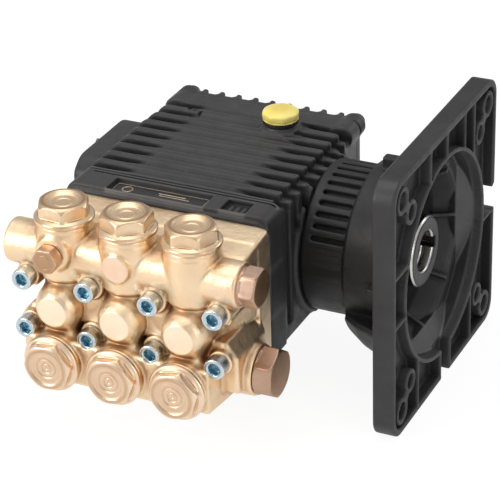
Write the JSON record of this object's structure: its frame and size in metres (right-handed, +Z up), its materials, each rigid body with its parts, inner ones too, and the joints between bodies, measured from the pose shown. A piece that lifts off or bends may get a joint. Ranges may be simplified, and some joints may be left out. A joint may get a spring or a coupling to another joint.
{
  "type": "pressure washer pump",
  "caption": "Triplex plunger pump: brass valve manifold, finned black crankcase and a square flange that bolts onto an engine, driven through a hollow keyed shaft.",
  "frame": {"origin": "middle of the crankcase's flat underside, straight below the crankshaft axis and the middle cylinder", "axes": "+X along the crankshaft towards the engine flange, -Y towards the brass manifold, +Z up away from the crankcase's underside"},
  "size_m": [0.2355, 0.2463, 0.1686],
  "materials": {
    "crankcase": "cast and satin black painted",
    "rear_cover": "cast and satin black painted",
    "engine_flange": "cast and satin black painted",
    "bearing_cover": "cast and satin black painted",
    "manifold": "forged brass, satin with bright machined faces",
    "discharge_valve_plug_1": "forged brass, satin with bright machined faces",
    "inlet_valve_plug_1": "forged brass, satin with bright machined faces",
    "discharge_valve_plug_2": "forged brass, satin with bright machined faces",
    "inlet_valve_plug_2": "forged brass, satin with bright machined faces",
    "discharge_valve_plug_3": "forged brass, satin with bright machined faces",
    "inlet_valve_plug_3": "forged brass, satin with bright machined faces",
    "gauge_port_plug": "darker bronze-brown brass, machined",
    "outlet_gallery_plug": "darker bronze-brown brass, machined",
    "inlet_gallery_plug": "darker bronze-brown brass, machined",
    "manifold_screw_1": "bright zinc plated steel",
    "manifold_screw_2": "bright zinc plated steel",
    "manifold_screw_3": "bright zinc plated steel",
    "manifold_screw_4": "bright zinc plated steel",
    "manifold_screw_5": "bright zinc plated steel",
    "manifold_screw_6": "bright zinc plated steel",
    "manifold_screw_7": "bright zinc plated steel",
    "manifold_screw_8": "bright zinc plated steel",
    "drain_plug": "bright zinc plated steel",
    "sight_glass": "clear window in a plastic body",
    "oil_cap": "yellow moulded plastic",
    "crankshaft": "ground steel",
    "bearing_left": "ground steel",
    "bearing_right": "ground steel",
    "shaft_seal": "moulded black rubber",
    "con_rod_1": "bare die-cast aluminium, machined faces",
    "crosshead_1": "ground stainless",
    "wrist_pin_1": "ground steel",
    "plunger_1": "polished white ceramic",
    "discharge_seat_1": "ground steel",
    "discharge_poppet_1": "ground steel",
    "discharge_spring_1": "ground steel",
    "inlet_seat_1": "ground steel",
    "inlet_poppet_1": "ground steel",
    "inlet_spring_1": "ground steel",
    "con_rod_2": "bare die-cast aluminium, machined faces",
    "crosshead_2": "ground stainless",
    "wrist_pin_2": "ground steel",
    "plunger_2": "polished white ceramic",
    "discharge_seat_2": "ground steel",
    "discharge_poppet_2": "ground steel",
    "discharge_spring_2": "ground steel",
    "inlet_seat_2": "ground steel",
    "inlet_poppet_2": "ground steel",
    "inlet_spring_2": "ground steel",
    "con_rod_3": "bare die-cast aluminium, machined faces",
    "crosshead_3": "ground stainless",
    "wrist_pin_3": "ground steel",
    "plunger_3": "polished white ceramic",
    "discharge_seat_3": "ground steel",
    "discharge_poppet_3": "ground steel",
    "discharge_spring_3": "ground steel",
    "inlet_seat_3": "ground steel",
    "inlet_poppet_3": "ground steel",
    "inlet_spring_3": "ground steel"
  },
  "bodies": {
    "housing": {"crankcase": "crankcase", "rear_cover": "rear_cover", "engine_flange": "engine_flange", "bearing_cover": "bearing_cover", "manifold": "manifold", "discharge_valve_plug_1": "discharge_valve_plug_1", "inlet_valve_plug_1": "inlet_valve_plug_1", "discharge_valve_plug_2": "discharge_valve_plug_2", "inlet_valve_plug_2": "inlet_valve_plug_2", "discharge_valve_plug_3": "discharge_valve_plug_3", "inlet_valve_plug_3": "inlet_valve_plug_3", "gauge_port_plug": "gauge_port_plug", "outlet_gallery_plug": "outlet_gallery_plug", "inlet_gallery_plug": "inlet_gallery_plug", "manifold_screw_1": "manifold_screw_1", "manifold_screw_2": "manifold_screw_2", "manifold_screw_3": "manifold_screw_3", "manifold_screw_4": "manifold_screw_4", "manifold_screw_5": "manifold_screw_5", "manifold_screw_6": "manifold_screw_6", "manifold_screw_7": "manifold_screw_7", "manifold_screw_8": "manifold_screw_8", "drain_plug": "drain_plug", "sight_glass": "sight_glass", "bearing_left": "bearing_left", "bearing_right": "bearing_right", "shaft_seal": "shaft_seal", "discharge_seat_1": "discharge_seat_1", "inlet_seat_1": "inlet_seat_1", "discharge_seat_2": "discharge_seat_2", "inlet_seat_2": "inlet_seat_2", "discharge_seat_3": "discharge_seat_3", "inlet_seat_3": "inlet_seat_3"},
    "crankshaft": {"crankshaft": "crankshaft"},
    "con_rod_1": {"con_rod_1": "con_rod_1"},
    "plunger_1": {"crosshead_1": "crosshead_1", "wrist_pin_1": "wrist_pin_1", "plunger_1": "plunger_1"},
    "con_rod_2": {"con_rod_2": "con_rod_2"},
    "plunger_2": {"crosshead_2": "crosshead_2", "wrist_pin_2": "wrist_pin_2", "plunger_2": "plunger_2"},
    "con_rod_3": {"con_rod_3": "con_rod_3"},
    "plunger_3": {"crosshead_3": "crosshead_3", "wrist_pin_3": "wrist_pin_3", "plunger_3": "plunger_3"},
    "discharge_valve_1": {"discharge_poppet_1": "discharge_poppet_1", "discharge_spring_1": "discharge_spring_1"},
    "inlet_valve_1": {"inlet_poppet_1": "inlet_poppet_1", "inlet_spring_1": "inlet_spring_1"},
    "discharge_valve_2": {"discharge_poppet_2": "discharge_poppet_2", "discharge_spring_2": "discharge_spring_2"},
    "inlet_valve_2": {"inlet_poppet_2": "inlet_poppet_2", "inlet_spring_2": "inlet_spring_2"},
    "discharge_valve_3": {"discharge_poppet_3": "discharge_poppet_3", "discharge_spring_3": "discharge_spring_3"},
    "inlet_valve_3": {"inlet_poppet_3": "inlet_poppet_3", "inlet_spring_3": "inlet_spring_3"},
    "oil_cap": {"oil_cap": "oil_cap"}
  },
  "joints": [
    {"name": "crankshaft_spin", "type": "hinge", "parent": "housing", "child": "crankshaft", "pos_m": [0, 0, 0.044], "axis": [1, 0, 0], "continuous": true},
    {"name": "con_rod_1_big_end", "type": "hinge", "parent": "crankshaft", "child": "con_rod_1", "pos_m": [-0.041, 0, 0.047], "axis": [1, 0, 0], "continuous": true},
    {"name": "plunger_1_stroke", "type": "slide", "parent": "housing", "child": "plunger_1", "axis": [0, 1, 0], "range_m": [-0.003, 0.003]},
    {"name": "con_rod_2_big_end", "type": "hinge", "parent": "crankshaft", "child": "con_rod_2", "pos_m": [0, -0.0026, 0.0425], "axis": [1, 0, 0], "continuous": true},
    {"name": "plunger_2_stroke", "type": "slide", "parent": "housing", "child": "plunger_2", "axis": [0, 1, 0], "range_m": [-0.0004, 0.0056]},
    {"name": "con_rod_3_big_end", "type": "hinge", "parent": "crankshaft", "child": "con_rod_3", "pos_m": [0.041, 0.0026, 0.0425], "axis": [1, 0, 0], "continuous": true},
    {"name": "plunger_3_stroke", "type": "slide", "parent": "housing", "child": "plunger_3", "axis": [0, 1, 0], "range_m": [-0.0056, 0.0004]},
    {"name": "discharge_valve_1_lift", "type": "slide", "parent": "housing", "child": "discharge_valve_1", "axis": [0, 0, 1], "range_m": [0, 0.0022]},
    {"name": "inlet_valve_1_lift", "type": "slide", "parent": "housing", "child": "inlet_valve_1", "axis": [0, -1, 0], "range_m": [0, 0.0022]},
    {"name": "discharge_valve_2_lift", "type": "slide", "parent": "housing", "child": "discharge_valve_2", "axis": [0, 0, 1], "range_m": [0, 0.0022]},
    {"name": "inlet_valve_2_lift", "type": "slide", "parent": "housing", "child": "inlet_valve_2", "axis": [0, -1, 0], "range_m": [0, 0.0022]},
    {"name": "discharge_valve_3_lift", "type": "slide", "parent": "housing", "child": "discharge_valve_3", "axis": [0, 0, 1], "range_m": [0, 0.0022]},
    {"name": "inlet_valve_3_lift", "type": "slide", "parent": "housing", "child": "inlet_valve_3", "axis": [0, -1, 0], "range_m": [0, 0.0022]},
    {"name": "oil_cap_pull", "type": "slide", "parent": "housing", "child": "oil_cap", "axis": [0, 0, 1], "range_m": [0, 0.08]}
  ],
  "couplings": [
    {"joint": "con_rod_1_big_end", "follows": "crankshaft_spin", "ratio": -1},
    {"joint": "con_rod_2_big_end", "follows": "crankshaft_spin", "ratio": -1},
    {"joint": "con_rod_3_big_end", "follows": "crankshaft_spin", "ratio": -1}
  ]
}
